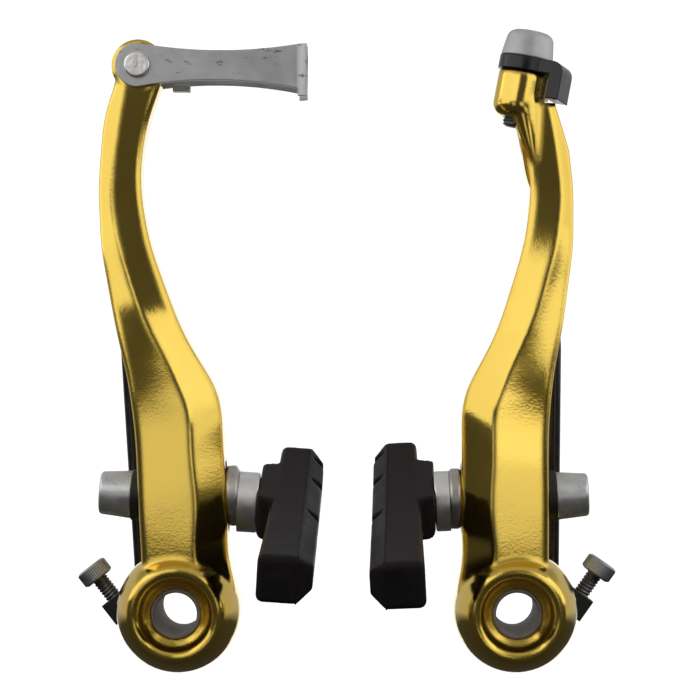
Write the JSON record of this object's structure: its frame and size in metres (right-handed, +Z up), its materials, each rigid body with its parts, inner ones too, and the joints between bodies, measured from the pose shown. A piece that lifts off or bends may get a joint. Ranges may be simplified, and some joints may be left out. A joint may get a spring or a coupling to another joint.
{
  "type": "v brake",
  "caption": "Bicycle linear-pull rim brake with gold forged arms, black rubber pads, a grey folded cable link on the left arm and a cable anchor bolt on the right.",
  "frame": {"origin": "midway between the two pivots, on the plane of the frame's seats at the bushings' back ends", "axes": "X to the right seen from the front, Y from the front towards the frame, Z up the arms"},
  "size_m": [0.1085, 0.0668, 0.127],
  "materials": {
    "gold_alloy": "polished gold anodised forging with a fine orange-peel grain",
    "grey_sheet": "scuffed grey pressed sheet",
    "silver_bolt": "bright plated",
    "black_plate": "black oxide",
    "bushing_steel": "turned",
    "carrier_plastic": "matt black moulding",
    "pin_steel": "plain",
    "spring_black": "black coated wire",
    "screw_steel": "knurled grey",
    "washer_steel": "plated satin",
    "black_washer": "black",
    "nut_grey": "grey plated",
    "post_steel": "threaded, plated",
    "pad_rubber": "moulded, slightly dusty"
  },
  "bodies": {
    "frame_side": {"left_bushing": "bushing_steel", "left_spring_carrier": "carrier_plastic", "left_anchor_pin": "pin_steel", "left_return_spring": "spring_black", "right_bushing": "bushing_steel", "right_spring_carrier": "carrier_plastic", "right_anchor_pin": "pin_steel", "right_return_spring": "spring_black"},
    "left_arm": {"left_arm": "gold_alloy", "left_catch_pin": "pin_steel", "left_inner_dome_washer": "washer_steel", "left_outer_dome_washer": "black_washer", "link_rivet": "silver_bolt"},
    "right_arm": {"right_arm": "gold_alloy", "right_catch_pin": "pin_steel", "right_inner_dome_washer": "washer_steel", "right_outer_dome_washer": "black_washer", "cable_clamp_plate": "black_plate"},
    "noodle_link": {"noodle_link": "grey_sheet"},
    "left_pad": {"left_brake_pad": "pad_rubber", "left_pad_post": "post_steel", "left_inner_cup_washer": "washer_steel", "left_outer_cup_washer": "black_washer", "left_pad_nut": "nut_grey"},
    "right_pad": {"right_brake_pad": "pad_rubber", "right_pad_post": "post_steel", "right_inner_cup_washer": "washer_steel", "right_outer_cup_washer": "black_washer", "right_pad_nut": "nut_grey"},
    "left_tension_screw": {"left_tension_screw": "screw_steel"},
    "right_tension_screw": {"right_tension_screw": "screw_steel"},
    "cable_bolt": {"cable_bolt": "silver_bolt"}
  },
  "joints": [
    {"name": "left_arm_pivot", "type": "hinge", "parent": "frame_side", "child": "left_arm", "pos_m": [-0.03325, -0.012, 0], "axis": [0, 1, 0], "range_deg": [-20, 4], "stiffness_Nm_per_rad": 1, "deforming": ["left_return_spring"]},
    {"name": "right_arm_pivot", "type": "hinge", "parent": "frame_side", "child": "right_arm", "pos_m": [0.03325, -0.012, 0], "axis": [0, -1, 0], "range_deg": [-20, 4], "stiffness_Nm_per_rad": 1, "deforming": ["right_return_spring"]},
    {"name": "link_swing", "type": "hinge", "parent": "left_arm", "child": "noodle_link", "pos_m": [-0.04106, -0.01155, 0.10725], "axis": [0, -1, 0], "range_deg": [-25, 100]},
    {"name": "left_pad_turn", "type": "hinge", "parent": "left_arm", "child": "left_pad", "pos_m": [-0.03214, -0.0108, 0.02208], "axis": [0.9977, 0.0105, -0.0663], "range_deg": [-25, 10]},
    {"name": "right_pad_turn", "type": "hinge", "parent": "right_arm", "child": "right_pad", "pos_m": [0.03098, -0.0108, 0.02199], "axis": [0.9986, -0.0244, 0.0471], "range_deg": [-25, 10]},
    {"name": "left_screw_turn", "type": "hinge", "parent": "frame_side", "child": "left_tension_screw", "pos_m": [-0.05098, -0.0028, 0.00657], "axis": [0.6157, 0, -0.788], "continuous": true},
    {"name": "right_screw_turn", "type": "hinge", "parent": "frame_side", "child": "right_tension_screw", "pos_m": [0.05061, -0.0028, 0.00749], "axis": [-0.5736, 0, -0.8192], "continuous": true},
    {"name": "cable_bolt_turn", "type": "hinge", "parent": "right_arm", "child": "cable_bolt", "pos_m": [0.03504, -0.01215, 0.10631], "axis": [0.1857, 0, 0.9826], "continuous": true}
  ]
}
